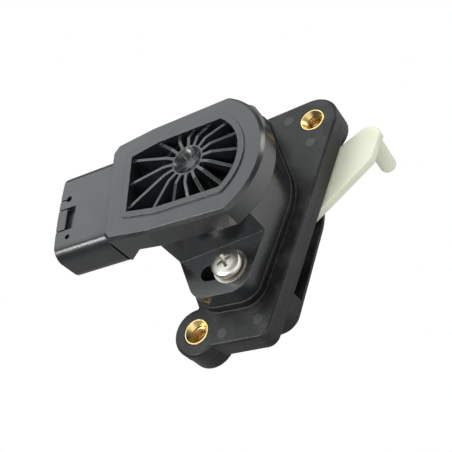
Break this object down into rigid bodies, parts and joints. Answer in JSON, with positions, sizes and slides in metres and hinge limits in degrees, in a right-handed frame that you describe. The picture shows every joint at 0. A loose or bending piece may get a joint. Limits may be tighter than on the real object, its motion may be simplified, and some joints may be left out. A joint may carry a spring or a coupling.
{
  "type": "potentiometer",
  "caption": "Rotary position potentiometer with a ribbed head, side connector, slotted clamp lugs, two-ear flange and sprung drive lever.",
  "frame": {"origin": "the lever's turning axis at the flange's front face", "axes": "+Z along the turning axis towards the ribbed head; -X towards the connector's side, 2.5 degrees off the line of its mouth"},
  "size_m": [0.0884, 0.076, 0.0502],
  "materials": {
    "black_plastic": "moulded black glass-filled plastic, satin",
    "grey_plastic": "moulded dark grey plastic, satin",
    "lever_plastic": "natural off-white moulded plastic, slightly translucent",
    "inner_plastic": "moulded black plastic",
    "brass": "turned brass",
    "bronze": "sintered bearing metal",
    "steel": "ground steel",
    "plated_steel": "zinc plated steel",
    "contact_metal": "tinned contact metal",
    "board": "board with printed resistive tracks",
    "seal_rubber": "soft seal rubber"
  },
  "bodies": {
    "housing": {"front_housing": "black_plastic", "rear_cover": "black_plastic", "insert_lower": "brass", "insert_upper": "brass", "bush": "bronze", "pot_body": "grey_plastic", "pot_cover": "grey_plastic", "face_seal": "seal_rubber", "shaft_seal": "seal_rubber", "track_board": "board", "terminal_1": "contact_metal", "terminal_2": "contact_metal", "terminal_3": "contact_metal", "thrust_washer": "steel", "clamp_screw_lower": "plated_steel", "flat_washer_lower": "plated_steel", "spring_washer_lower": "plated_steel", "screw_insert_lower": "brass", "clamp_screw_upper": "plated_steel", "flat_washer_upper": "plated_steel", "spring_washer_upper": "plated_steel", "screw_insert_upper": "brass"},
    "drive": {"lever": "lever_plastic", "shaft": "steel", "rotor": "inner_plastic", "wiper_contacts": "contact_metal", "retaining_clip": "steel", "return_spring": "steel"}
  },
  "joints": [
    {"name": "lever_turn", "type": "hinge", "parent": "housing", "child": "drive", "pos_m": [0, 0, 0], "axis": [0, 0, 1], "range_deg": [-60, 0], "stiffness_Nm_per_rad": 0.05, "springref_deg": 20.05, "deforming": ["return_spring"]}
  ]
}
